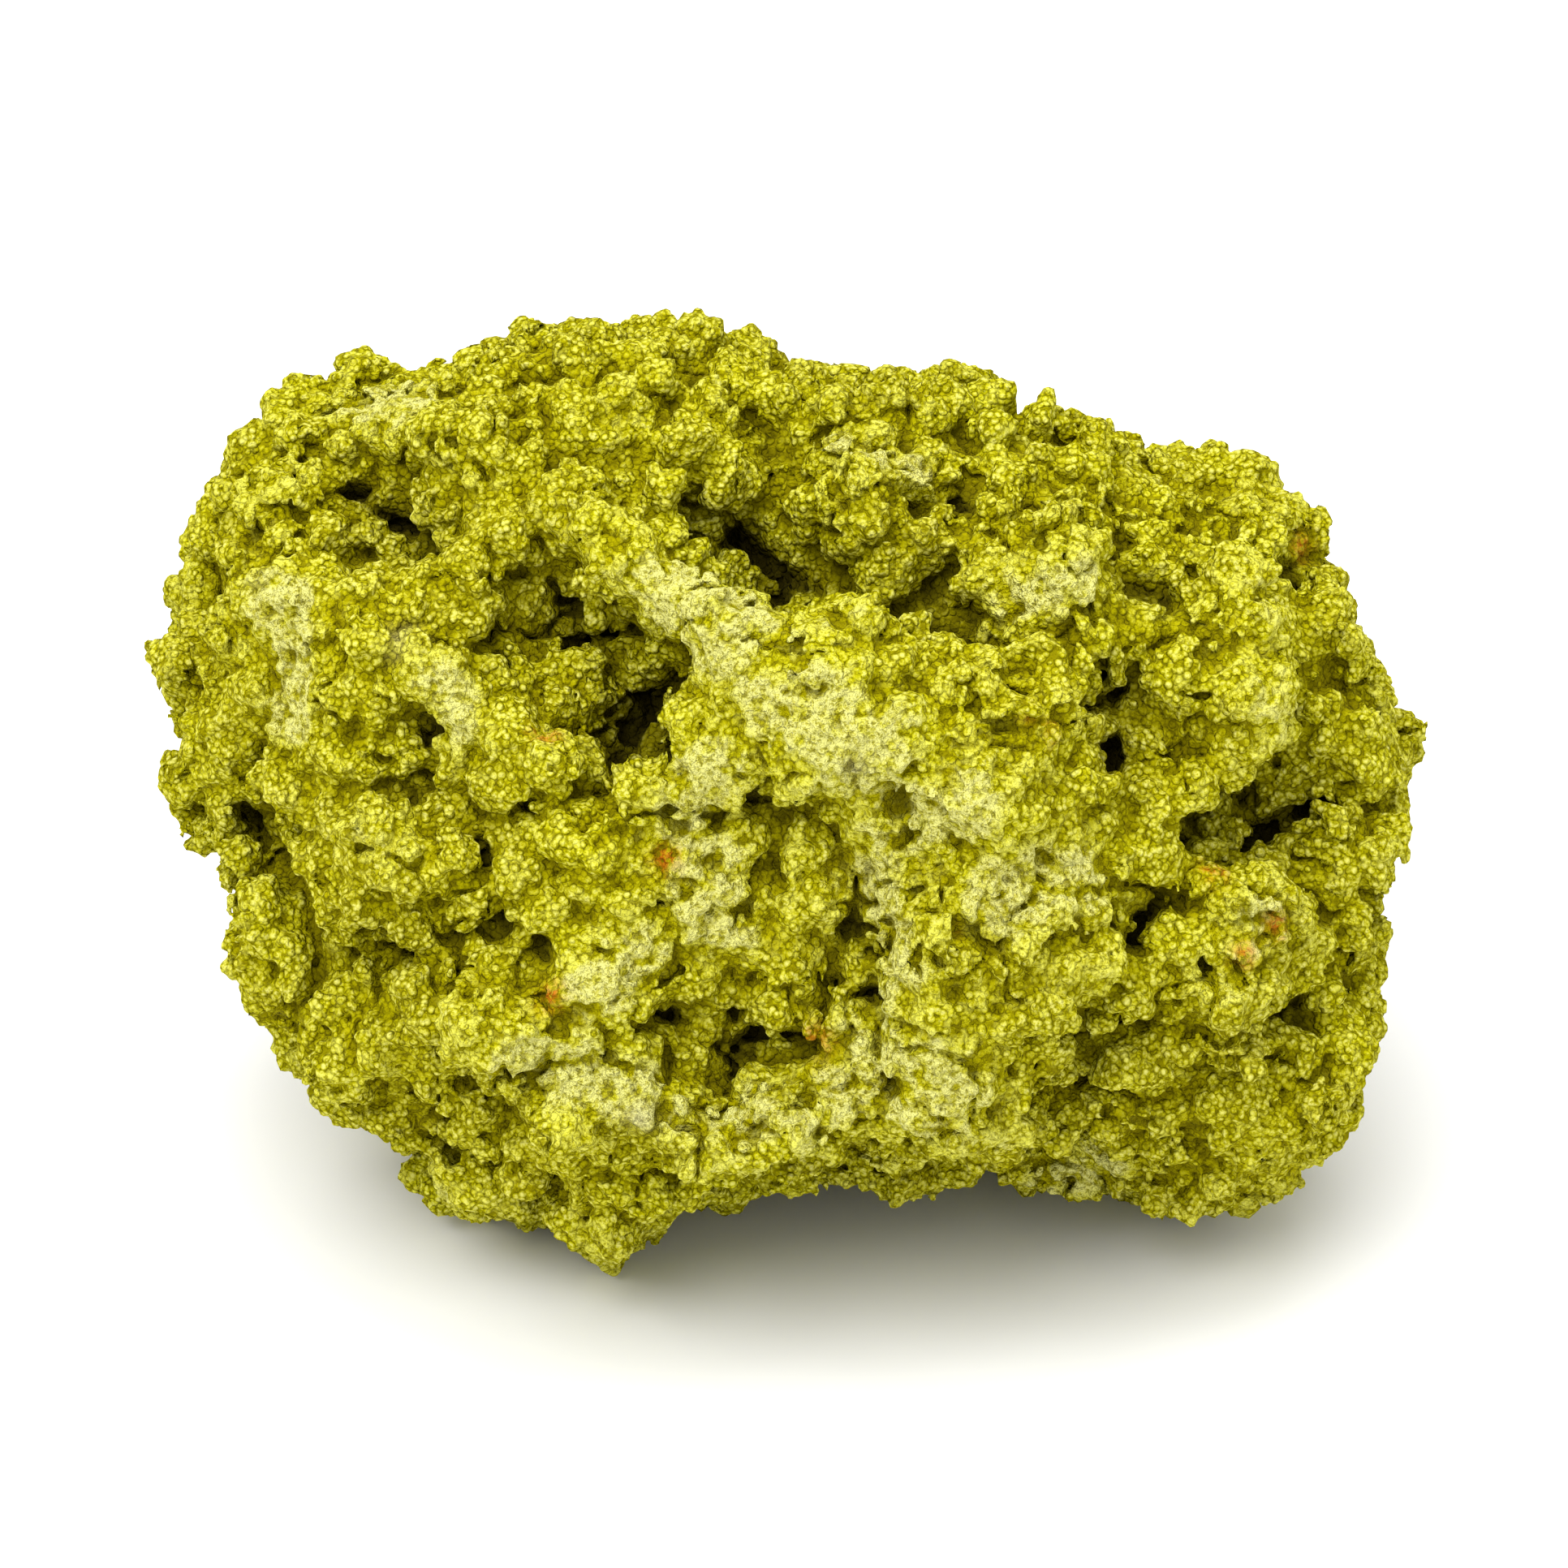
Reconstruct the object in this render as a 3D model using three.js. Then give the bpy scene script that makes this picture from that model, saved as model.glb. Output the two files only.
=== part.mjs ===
// A hand-sized lump of nontronite, the yellow-green iron clay, as it came out of its vein.
//
// It formed as one mass, so it is one solid: a blocky nodule whose show face leans back, grown over
// with rounded bosses and ledges, and eaten into by hollows and slots between them. It stands on four
// worn feet with a low arch between them.
//
// Millimetres, +Z up. The origin lies on the resting surface below the middle of the mass, +X runs
// to the right across the show face, and -Y is the side that the show face looks to.
import * as THREE from "three";
import { mergeVertices } from "three/addons/utils/BufferGeometryUtils.js";

// ---------------------------------------------------------------- driving dimensions

const FACE_LEAN = THREE.MathUtils.degToRad(25); // how far the show face leans back from upright
const FACE_HEIGHT = 35.2; // height of the face's middle above the resting surface
const FRONT_BULGE = 31; // from the rim's plane out to the middle of the show face
const BACK_BULGE = 41; // from the rim's plane back to the middle of the back
const SQUARENESS = 2.5; // 2 makes the section across the rim an ellipse, and more makes it boxy
const RIM_SHARE = 0.98; // how far out the rim lies towards the outline that RIM gives
const RIM_EVENING = 12; // degrees over which the rim's bumps are evened out away from it
const RIM_DEPTH = 9; // how far in front of and behind the rim's plane its bumps reach

// The rim where the show face turns over to the back, as [across, up the face] from its middle.
const RIM = [
  [-52.4, 12.2], [-51.0, 18.6], [-48.6, 24.4], [-45.0, 27.4], [-42.2, 32.2], [-37.4, 34.2],
  [-30.6, 33.2], [-24.6, 35.2], [-18.6, 36.8], [-13.6, 36.4], [-9.4, 38.6], [-5.4, 37.2],
  [-1.8, 38.2], [1.6, 33.4], [6.8, 33.2], [12.2, 33.6], [15.6, 33.0], [18.2, 29.0],
  [23.6, 29.2], [29.6, 28.6], [35.4, 26.6], [41.8, 24.2], [45.0, 18.4], [47.0, 13.4],
  [49.8, 9.4], [51.0, 4.0], [52.4, 1.4], [50.2, -3.2], [47.4, -7.8], [48.8, -12.6],
  [50.0, -17.8], [48.0, -21.6], [46.0, -27.0], [41.6, -33.2], [36.0, -35.8], [30.6, -33.4],
  [22.4, -33.6], [14.6, -33.0], [8.0, -34.4], [1.0, -33.6], [-5.4, -33.2], [-9.2, -37.2],
  [-13.4, -38.2], [-20.6, -36.6], [-28.0, -34.8], [-32.2, -29.6], [-37.4, -26.6], [-42.2, -21.8],
  [-44.4, -14.2], [-46.2, -8.6], [-48.2, -3.4], [-50.6, 1.8], [-50.8, 6.4],
];

// Bosses (rise above 0) and hollows (rise below 0) of the show face, placed on it like the rim.
// half is the half length and half width, and turn swings the length anticlockwise, in degrees.
const FACE_FORMS = [
  { name: "central boss", at: [8.2, 4.4], half: [16.6, 9.4], turn: -17, rise: 7.0 },
  { name: "brow spur", at: [-4.6, 11.6], half: [7.6, 3.4], turn: -38, rise: 4.0 },
  { name: "boss crest", at: [20.6, 12.4], half: [5.0, 10.0], turn: -12, rise: 3.0 },
  { name: "lower boss", at: [15.6, -12.2], half: [12.2, 6.6], turn: -6, rise: 7.0 },
  { name: "nose", at: [13.4, -23.4], half: [6.2, 5.4], turn: -20, rise: 8.5 },
  { name: "long ledge", at: [-7.4, -25.2], half: [15.8, 4.2], turn: -9, rise: 7.0 },
  { name: "recess over the ledge", at: [-4.6, -20.6], half: [11.6, 2.2], turn: 2, rise: -5.0 },
  { name: "left fist", at: [-30.8, -4.8], half: [7.0, 4.6], turn: -32, rise: 4.5 },
  { name: "left spine", at: [-23.6, -15.6], half: [10.6, 4.0], turn: -58, rise: 4.0 },
  { name: "hollow left of the spine", at: [-31.0, -12.4], half: [5.4, 3.4], turn: 30, rise: -4.0 },
  { name: "middle trough", at: [-15.4, 10.4], half: [11.4, 3.8], turn: -52, rise: -6.5 },
  { name: "trough end pit", at: [-11.8, 4.4], half: [3.6, 3.4], turn: 0, rise: -6.0 },
  { name: "pit above the trough", at: [-20.6, 18.0], half: [5.0, 2.6], turn: -25, rise: -5.0 },
  { name: "upper left hollow", at: [-31.4, 21.4], half: [6.8, 3.4], turn: -8, rise: -6.0 },
  { name: "cave under the block", at: [-0.8, 17.6], half: [7.2, 2.8], turn: -24, rise: -10.5 },
  { name: "cave's right arm", at: [8.8, 20.4], half: [4.6, 2.2], turn: 24, rise: -7.0 },
  { name: "hanging block", at: [4.0, 22.0], half: [5.2, 3.6], turn: -10, rise: 4.5 },
  { name: "right channel", at: [26.4, 8.4], half: [9.0, 2.2], turn: 96, rise: -8.0 },
  { name: "channel pit", at: [27.0, 2.2], half: [3.2, 2.8], turn: 0, rise: -6.5 },
  { name: "right block", at: [33.4, 8.2], half: [6.8, 8.4], turn: 0, rise: 4.0 },
  { name: "slot under the block", at: [38.6, -3.6], half: [9.0, 2.4], turn: 14, rise: -9.0 },
  { name: "rim crater", at: [28.2, 20.2], half: [3.8, 2.8], turn: -10, rise: -4.0 },
  { name: "right shoulder", at: [34.8, -9.4], half: [10.6, 3.4], turn: -26, rise: 4.5 },
  { name: "hollow by the shoulder", at: [29.6, -13.4], half: [3.6, 3.0], turn: 0, rise: -4.5 },
  { name: "hollow by the lower boss", at: [26.4, -19.8], half: [4.2, 2.6], turn: 0, rise: -6.5 },
  { name: "pit beside the nose", at: [22.2, -27.4], half: [3.4, 2.6], turn: -10, rise: -8.5 },
  { name: "lower right boss", at: [34.4, -17.4], half: [7.4, 3.6], turn: 12, rise: 4.0 },
  { name: "slot by the right rim", at: [41.0, -20.2], half: [6.4, 1.8], turn: 22, rise: -5.0 },
  { name: "left side hollow", at: [-27.2, 0.6], half: [7.6, 2.8], turn: -20, rise: -4.0 },
  { name: "left rim hollow", at: [-43.4, -3.4], half: [3.6, 2.6], turn: 0, rise: -4.0 },
  { name: "left foot hollow", at: [-27.8, -28.6], half: [3.4, 3.4], turn: 0, rise: -4.0 },
  { name: "middle pit", at: [0.8, -3.4], half: [3.0, 2.4], turn: 0, rise: -3.5 },
  { name: "pit over the nose", at: [10.2, -12.6], half: [5.0, 2.0], turn: 12, rise: -3.5 },
  { name: "recess under the nose", at: [10.4, -32.4], half: [20.0, 3.4], turn: 0, rise: -11.5 },
];

// The same on the back, the top and the sides, placed as seen through the block from the face.
const BACK_FORMS = [
  { name: "back ridge", at: [-8, 12], half: [24, 8], turn: 18, rise: 6 },
  { name: "back left boss", at: [-31, -5], half: [10, 9], turn: -30, rise: 6 },
  { name: "back right boss", at: [29, -4], half: [12, 8], turn: 40, rise: 6.5 },
  { name: "top left ledge", at: [-24, 28], half: [13, 5], turn: 6, rise: 5.5 },
  { name: "top right knob", at: [24, 22], half: [7, 6], turn: -20, rise: 5.5 },
  { name: "right side boss", at: [44, 12], half: [7, 6], turn: 40, rise: 4.5 },
  { name: "left side boss", at: [-45, 14], half: [6, 8], turn: 10, rise: 4.5 },
  { name: "lower back lip", at: [0, -19], half: [17, 4.5], turn: 5, rise: 4 },
  { name: "top hollow", at: [4, 29], half: [11, 6], turn: -8, rise: -6.5 },
  { name: "back hollow", at: [7, -7], half: [14, 6.5], turn: -24, rise: -7.5 },
  { name: "back pit", at: [-17, 0], half: [5, 4.5], turn: 0, rise: -7 },
  { name: "back slot", at: [17, 10], half: [10, 4], turn: 62, rise: -6.5 },
  { name: "back left slot", at: [-30, 12], half: [9, 3.6], turn: -58, rise: -6 },
  { name: "right side hollow", at: [46, -6], half: [6, 8], turn: 15, rise: -5.5 },
  { name: "left side pit", at: [-44, -3], half: [5.5, 6.5], turn: 0, rise: -5.5 },
  { name: "lower left hollow", at: [-27, -20], half: [8, 4.5], turn: -10, rise: -5.5 },
  { name: "lower right hollow", at: [25, -20], half: [8, 4.5], turn: 12, rise: -5.5 },
];

const BOSS_ROOT = 4; // how deep a boss is rooted in the block
const BOSS_BLEND = 2.4; // width of the rounded crease round a boss
const HOLLOW_BLEND = 2.4; // width of the rounded lip of a hollow, and of the arch's edge
const FORM_SQUARENESS = 2.4; // as SQUARENESS, for bosses and hollows
const FORM_CORNER = 1.2; // no corner of a form is further from its middle than this times its longest half

// Rounded growths all over the mass, one at about every GROWTH_SPACING.
const GROWTH_SPACING = 10;
const GROWTH_RISE = 6.8; // from the bottom of a crease to the top of a growth
const GROWTH_LEVEL = 0.7; // the share of that rise which lies below the block's own surface
const GROWTH_AT_RIM = 0.4; // the share of the growths' rise that is left at the bumpy rim
const GROWTH_SEED = 7;

// The worn feet, as [x, y] on the resting surface from below the face's middle, and their radius.
const FEET = [
  { name: "left foot", at: [-17, -6], radius: 7.5 },
  { name: "right foot", at: [33, 0], radius: 7.5 },
  { name: "back left foot", at: [-21, 15], radius: 6 },
  { name: "back right foot", at: [18, 16], radius: 6 },
];
const FOOT_WEAR = 1.6; // how much of a foot's growths is worn off flat
const ARCH_RISE = 4.5; // the highest that the underside arches between the feet
const ARCH_REACH = 15; // how far from a foot the arch reaches its full height

// The facets: a sphere's, shrunk onto the mass and evened out.
const MESH_STEPS = 21; // divisions of each icosahedron edge, less one
const OUTERMOST = 75; // a radius that clears the whole mass
const RELAX_ROUNDS = 30;
const RELAX_SHARE = 0.5; // share of the way to its neighbours' middle that a vertex slides
const SETTLE_ROUNDS = 2; // last rounds of sliding, which also round the sharpest edges
const SETTLE_SHARE = 0.25;
const FLAT_WITHIN = 0.05; // vertices this near the resting surface lie on it

const CLOSE_ENOUGH = 0.01; // a point this near a surface lies on it
const SLOPE_STEP = 0.05; // how far apart the two depths are taken that give a slope
const STRIDE = { share: 0.6, back: -0.5, ahead: 2 }; // how far to go along a line for a depth, at most
const MOST_STRIDES = 200;
const SMALLEST_SHARE = 0.05; // keeps a division away from 0 at the middle of a form

const NONTRONITE = new THREE.MeshStandardMaterial({ color: 0xa6a02c, roughness: 0.95, metalness: 0 });

// ---------------------------------------------------------------- small helpers

// A number from 0 to 1 that depends only on three whole numbers and a seed.
function hash(i, j, k, seed) {
  let h = (i * 374761393 + j * 668265263 + k * 2147483647 + seed * 1274126177) | 0;
  h = Math.imul(h ^ (h >>> 13), 1274126177);
  h = Math.imul(h ^ (h >>> 16), 2246822519);
  return ((h ^ (h >>> 15)) >>> 0) / 4294967296;
}

// Height, 0 to 1, of a field of domes about one unit apart: 1 on a dome's top, lower in the creases.
function domes(x, y, z, seed) {
  const [i0, j0, k0] = [Math.floor(x), Math.floor(y), Math.floor(z)];
  let nearest = 1;
  for (let i = i0 - 1; i <= i0 + 1; i++)
    for (let j = j0 - 1; j <= j0 + 1; j++)
      for (let k = k0 - 1; k <= k0 + 1; k++) {
        const dx = i + hash(i, j, k, seed) - x;
        const dy = j + hash(i, j, k, seed + 1) - y;
        const dz = k + hash(i, j, k, seed + 2) - z;
        nearest = Math.min(nearest, dx * dx + dy * dy + dz * dz);
      }
  return 1 - nearest;
}

// The lower of two depths with the crease between them rounded over a width.
function blend(a, b, width) {
  const share = THREE.MathUtils.clamp(0.5 + (b - a) / (2 * width), 0, 1);
  return b + (a - b) * share - width * share * (1 - share);
}

// ---------------------------------------------------------------- the block
// A depth is a distance in millimetres: above 0 outside the mass, below 0 inside it.

// Distance from the face's middle to the rim in the direction of an angle, and the same evened out.
function rimReaches() {
  const steps = 720; // directions round the rim, half a degree apart
  const outline = RIM.map(([x, y]) => new THREE.Vector3(x, y, 0).multiplyScalar(RIM_SHARE));
  const curve = new THREE.CatmullRomCurve3(outline, true, "centripetal");
  const reach = new Float32Array(steps);
  for (const p of curve.getSpacedPoints(steps * 8)) {
    const turn = (Math.atan2(p.y, p.x) / (2 * Math.PI) + 1) % 1;
    const slot = Math.floor(turn * steps) % steps;
    reach[slot] = Math.max(reach[slot], Math.hypot(p.x, p.y));
  }
  const half = Math.round((RIM_EVENING / 360) * steps);
  const even = reach.map((_, i) => {
    let sum = 0;
    for (let k = -half; k <= half; k++) sum += reach[(i + k + steps) % steps];
    return sum / (2 * half + 1);
  });
  return (angle) => {
    const slot = Math.floor(((angle / (2 * Math.PI) + 1) % 1) * steps) % steps;
    return [reach[slot], even[slot]];
  };
}
const rimAt = rimReaches();

// Depth of a point [across, up, out] of the face in the plain block.
function blockDepth(p) {
  const bulge = p.z > 0 ? FRONT_BULGE : BACK_BULGE;
  const [sharp, even] = rimAt(Math.atan2(p.y, p.x));
  const rim = THREE.MathUtils.lerp(even, sharp, Math.exp(-((p.z / RIM_DEPTH) ** 2)));
  const spread = Math.hypot(p.x, p.y) / rim;
  const size = (spread ** SQUARENESS + Math.abs(p.z / bulge) ** SQUARENESS) ** (1 / SQUARENESS);
  return p.length() * (1 - 1 / Math.max(size, SMALLEST_SHARE));
}

// The direction in which a depth grows fastest.
function steepest(depth, p) {
  const here = depth(p);
  const ahead = ["x", "y", "z"].map((axis) => {
    const q = p.clone();
    q[axis] += SLOPE_STEP;
    return depth(q) - here;
  });
  return new THREE.Vector3(...ahead).normalize();
}

// Where a straight line from a point outside meets the surface, going by a depth.
function meet(depth, start, direction) {
  const p = start.clone();
  for (let stride = 0; stride < MOST_STRIDES; stride++) {
    const d = depth(p);
    if (Math.abs(d) < CLOSE_ENOUGH) break;
    p.addScaledVector(direction, THREE.MathUtils.clamp(d * STRIDE.share, STRIDE.back, STRIDE.ahead));
  }
  return p;
}

// ---------------------------------------------------------------- bosses and hollows

// A form becomes an ellipsoid seated on the block, with one axis square to the surface there.
// side is 1 for one that is seated from the front, and -1 from the back.
function seatForm({ at, half, turn, rise }, side) {
  const start = new THREE.Vector3(...at, side * (side > 0 ? FRONT_BULGE : BACK_BULGE));
  const seat = meet(blockDepth, start, new THREE.Vector3(0, 0, -side));
  const out = steepest(blockDepth, seat);
  const swing = THREE.MathUtils.degToRad(turn);
  const along = new THREE.Vector3(Math.cos(swing), Math.sin(swing), 0);
  along.addScaledVector(out, -along.dot(out)).normalize();
  const boss = rise > 0;
  const root = boss ? BOSS_ROOT : 0;
  const size = [half[0], half[1], Math.abs(rise) + root];
  return {
    centre: seat.addScaledVector(out, -root),
    axes: [along, out.clone().cross(along), out],
    size,
    boss,
    within: FORM_CORNER * Math.max(...size) + BOSS_BLEND,
  };
}

// Bosses come first, so that the hollows are cut into them too.
const forms = [
  ...FACE_FORMS.map((form) => seatForm(form, 1)),
  ...BACK_FORMS.map((form) => seatForm(form, -1)),
].sort((a, b) => b.boss - a.boss);

function formDepth({ centre, axes, size }, p) {
  const arm = p.clone().sub(centre);
  const shares = axes.map((axis, i) => Math.abs(arm.dot(axis) / size[i]) ** FORM_SQUARENESS);
  const reach = (shares[0] + shares[1] + shares[2]) ** (1 / FORM_SQUARENESS);
  return arm.length() * (1 - 1 / Math.max(reach, SMALLEST_SHARE));
}

// ---------------------------------------------------------------- the underside

// From the face's axes [across, up, out] to upright ones.
function lean(p) {
  const [sine, cosine] = [Math.sin(FACE_LEAN), Math.cos(FACE_LEAN)];
  return new THREE.Vector3(p.x, p.y * sine - p.z * cosine, FACE_HEIGHT + p.y * cosine + p.z * sine);
}

// Height of the underside above the resting surface at [x, y], before the feet are worn flat.
function archHeight(x, y) {
  const clear = Math.min(...FEET.map(({ at, radius }) => Math.hypot(x - at[0], y - at[1]) - radius));
  return (ARCH_RISE + FOOT_WEAR) * THREE.MathUtils.smoothstep(clear, 0, ARCH_REACH) - FOOT_WEAR;
}

// ---------------------------------------------------------------- the mass

// Depth in the block with its bosses and hollows, its arch, its rounded growths and its flat feet.
function massDepth(p) {
  let depth = blockDepth(p);
  for (const form of forms) {
    if (p.distanceToSquared(form.centre) > form.within ** 2) continue;
    const own = formDepth(form, p);
    depth = form.boss ? blend(depth, own, BOSS_BLEND) : -blend(-depth, own, HOLLOW_BLEND);
  }
  const upright = lean(p);
  const under = archHeight(upright.x, upright.y) - upright.z;
  depth = -blend(-depth, -under, HOLLOW_BLEND);
  const growth = domes(p.x / GROWTH_SPACING, p.y / GROWTH_SPACING, p.z / GROWTH_SPACING, GROWTH_SEED);
  const atRim = Math.exp(-((p.z / RIM_DEPTH) ** 2));
  depth -= GROWTH_RISE * (growth - GROWTH_LEVEL) * THREE.MathUtils.lerp(1, GROWTH_AT_RIM, atRim);
  return Math.max(depth, -upright.z);
}

// For each place, the middle of its neighbours.
function middlesOf(places, neighbours) {
  return places.map((_, i) => {
    const middle = new THREE.Vector3();
    for (const j of neighbours[i]) middle.add(places[j]);
    return middle.divideScalar(neighbours[i].size);
  });
}

// A round of moving each vertex towards the middle of its neighbours and back onto the surface.
function relax(places, neighbours) {
  const middles = middlesOf(places, neighbours);
  places.forEach((p, i) => {
    const out = steepest(massDepth, p);
    const slide = middles[i].sub(p);
    p.addScaledVector(slide.addScaledVector(out, -slide.dot(out)), RELAX_SHARE);
    p.addScaledVector(steepest(massDepth, p), THREE.MathUtils.clamp(-massDepth(p), -1, 1));
  });
}

// A sphere shrunk onto the mass: first straight inwards, then evened out over its surface.
function mass() {
  const sphere = new THREE.IcosahedronGeometry(1, MESH_STEPS);
  sphere.deleteAttribute("normal");
  sphere.deleteAttribute("uv");
  const body = mergeVertices(sphere, 1e-5);
  const index = body.index.array;
  const place = body.attributes.position;
  const neighbours = Array.from({ length: place.count }, () => new Set());
  for (let i = 0; i < index.length; i += 3)
    for (let k = 0; k < 3; k++) {
      neighbours[index[i + k]].add(index[i + ((k + 1) % 3)]);
      neighbours[index[i + k]].add(index[i + ((k + 2) % 3)]);
    }
  const places = Array.from({ length: place.count }, (_, i) => {
    const outward = new THREE.Vector3().fromBufferAttribute(place, i);
    return meet(massDepth, outward.clone().multiplyScalar(OUTERMOST), outward.negate());
  });
  for (let round = 0; round < RELAX_ROUNDS; round++) relax(places, neighbours);
  const flat = places.map((p) => lean(p).z < FLAT_WITHIN);
  for (let round = 0; round < SETTLE_ROUNDS; round++) {
    const middles = middlesOf(places, neighbours);
    places.forEach((p, i) => flat[i] || p.lerp(middles[i], SETTLE_SHARE));
  }
  places.forEach((p, i) => {
    const upright = lean(p);
    place.setXYZ(i, upright.x, upright.y, flat[i] ? 0 : Math.max(upright.z, 0));
  });
  body.computeBoundingBox();
  const middle = body.boundingBox.getCenter(new THREE.Vector3());
  return body.translate(-middle.x, -middle.y, 0);
}

const specimen = new THREE.Group();
const nontronite = new THREE.Mesh(mass(), NONTRONITE);
nontronite.name = "nontronite_mass";
specimen.add(nontronite);
export default specimen;
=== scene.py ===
"""A lump of nontronite: yellow-green clay grown as clusters of fine spherules, worn pale on its ridges.

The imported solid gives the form. Its surface is rebuilt here in distance grids: clusters, lumps and
knobs of clay in three sizes, with gaps, crevices and clefts between them, all rubbed down on the
ridges. The finest grains are in the material. Lengths are millimetres, in the part's own frame,
until a piece's mesh is finished.
"""
import math
from concurrent.futures import ThreadPoolExecutor

import bpy
import numpy as np
import openvdb
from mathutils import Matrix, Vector


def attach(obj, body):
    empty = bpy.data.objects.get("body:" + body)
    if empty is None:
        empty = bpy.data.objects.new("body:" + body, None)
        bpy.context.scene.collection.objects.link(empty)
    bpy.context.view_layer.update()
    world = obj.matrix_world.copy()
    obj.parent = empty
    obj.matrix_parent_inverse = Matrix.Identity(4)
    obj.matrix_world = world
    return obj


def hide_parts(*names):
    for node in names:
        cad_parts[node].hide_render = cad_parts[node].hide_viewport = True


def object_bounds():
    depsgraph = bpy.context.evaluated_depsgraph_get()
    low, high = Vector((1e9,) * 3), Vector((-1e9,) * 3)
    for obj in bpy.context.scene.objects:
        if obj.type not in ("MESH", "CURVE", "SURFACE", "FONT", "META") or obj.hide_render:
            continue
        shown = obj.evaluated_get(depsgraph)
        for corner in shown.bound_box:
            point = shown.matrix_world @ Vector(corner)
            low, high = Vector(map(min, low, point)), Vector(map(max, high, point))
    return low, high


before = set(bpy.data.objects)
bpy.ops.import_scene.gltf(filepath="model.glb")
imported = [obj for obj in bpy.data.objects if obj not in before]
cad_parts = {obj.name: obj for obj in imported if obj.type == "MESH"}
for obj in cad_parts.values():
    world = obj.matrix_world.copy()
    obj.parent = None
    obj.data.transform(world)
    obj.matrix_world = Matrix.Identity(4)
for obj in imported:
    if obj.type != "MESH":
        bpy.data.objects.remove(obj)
cad_box = [[float(c) for c in corner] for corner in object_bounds()]

MM = 0.001  # metres in a millimetre

# ---------------------------------------------------------------- driving dimensions, in millimetres

NODE = "nontronite_mass"
FACE_LEAN = math.radians(25)  # how far the show face leans back, which is also the camera's height
FACE_MIDDLE = np.array([0.0, -5.0, 35.2])  # the point that the show face's sizes are taken from

MARGIN = 2.0  # the grids reach this far past the solid's box
FAR = 6  # stands for any distance that is too great to matter

FORM_VOXEL = 0.9  # step of the grid that holds the solid's depth
FORM_ROUNDING = 0.9  # the solid's facets are blurred over this
FORM_REACH = 9.0  # the depth is known this far in and out
LOOSE_SINK = 1.1  # the loose places lie this much deeper
SWELL = 0.8  # the clusters stand this far proud of the solid, on the whole
WARP_SIZE, WARP_SHIFT = 7.0, 1.7  # the form is pushed about by this, which gives it ledges
WAVE_SIZE, WAVE_HEIGHT = 3.6, 0.5  # and raised and sunk by this
PROUD_REACH = 3.6  # a place is proud where it stands above the form blurred over this
WORN_FROM, WORN_FULLY = 0.2, 1.6  # wear grows between these heights above the blurred form
PROUD_WEAR, RIDGE_WEAR, LOOSE_WEAR = 0.75, 1.4, -0.4  # how much each of these adds to the wear
WEAR_PATCHES = ((4.5, 3), (1.9, 4))  # size and seed of the patches that the wear comes and goes in
WEAR_PATCH = 0.25  # how much each of these changes it
CLAY_VOXEL = 0.5  # step of the grid that holds the clusters
SKIN_VOXEL = 0.285  # step of the grid that holds the knobs

# Balls, each kind set one to a cell on the surface that the kinds before it make. A ball's top stands
# proud of that surface by something in the range top. The share missing is left out by chance, and so
# is any ball with its middle nearer to a crevice than clear times its radius, or deeper than deepest.
# The gaps are carved, and the other kinds are clay.
CLUSTERS = {
    "cell": 3.9, "radius": (1.4, 2.3), "top": (-1.3, 0.2), "missing": 0.06, "clear": -0.3, "deepest": 9,
    "seed": 100,
}
GAPS = {
    "cell": 3.2, "radius": (0.5, 1.0), "top": (-0.7, 0.5), "missing": 0.3, "clear": -9, "deepest": 4.5,
    "seed": 600,
}
LOOSE_GAPS = {
    "cell": 3.0, "radius": (0.7, 1.1), "top": (-0.5, 0.5), "missing": 0.1, "clear": -9, "deepest": 5.0,
    "seed": 700,
}
LUMPS = {
    "cell": 1.7, "radius": (0.65, 1.2), "top": (0.2, 0.9), "missing": 0.1, "clear": -1.2, "deepest": 4.2,
    "seed": 200,
}
KNOBS = {
    "cell": 0.95, "radius": (0.38, 0.58), "top": (0.2, 0.46), "missing": 0.05, "clear": -9, "deepest": 9,
    "seed": 300,
}
CORE_DEPTH = (2.0, 3.8)  # how far in the solid core lies under the clusters, least and most
CORE_WAVE = 7.0  # the core rises and sinks over this
WORN_CORE_RISE, CREVICE_CORE_SINK = 2.2, 3.0  # the core's change under worn clay and in crevices
LUMP_PUSH_SIZE, LUMP_PUSH = 1.7, 0.35  # the lumps are pushed out of round by this
SHELTER_REACH, DEEP_REACH = 1.0, 2.6  # how far about each place its shelter is measured
DEEPEST = 7.0  # the clay is worked out this far in
CARVE_LIMIT = DEEPEST - 1.5  # nothing is carved further in than this
CLAY_BAND = (-DEEPEST - 1, 2.0)  # the part of the clay's grid that is worked on
LOOSE_FROM = 0.35  # the loose gaps lie where a place is at least this loose
GAP_STRETCH, GAP_SECOND = 2.2, 0.8  # a gap's second ball: how far to the side, and its share in size
CREVICE_WIDER = 0.2  # the crevices are carved this much wider than they are drawn
CREVICE_LEAD = 1.5  # a crevice is carved from this far in front of the surface
THINNEST_GAP = 1.0  # a hollow behind a thinner gap than this is filled
CLEFT_DEPTH, CLEFT_SIZE = 0.5, 2.3  # narrow clefts run between clumps of about this size
CLEFT_PATCH = 5.0  # and come and go in patches of about this size
SKIN_BAND = (-1.2, 0.9)  # the part of the skin's grid that is worked on
RUBBED_LEVEL = 0.45  # wear brings the clay down to this far inside the form, on the whole
RUBBED_WAVES = ((0.55, 1.7, 8), (0.5, 0.8, 10))  # height, size and seed of the waves it leaves
UNWORN_CUT = 0.7  # clay that isn't worn may stand this far above the form
RUBBED_KNOB = 0.4  # how far the knobs still stand out where the clay is worn
FLOOR_GAP = 0.05  # the base is worn flat this far above the floor

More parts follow.
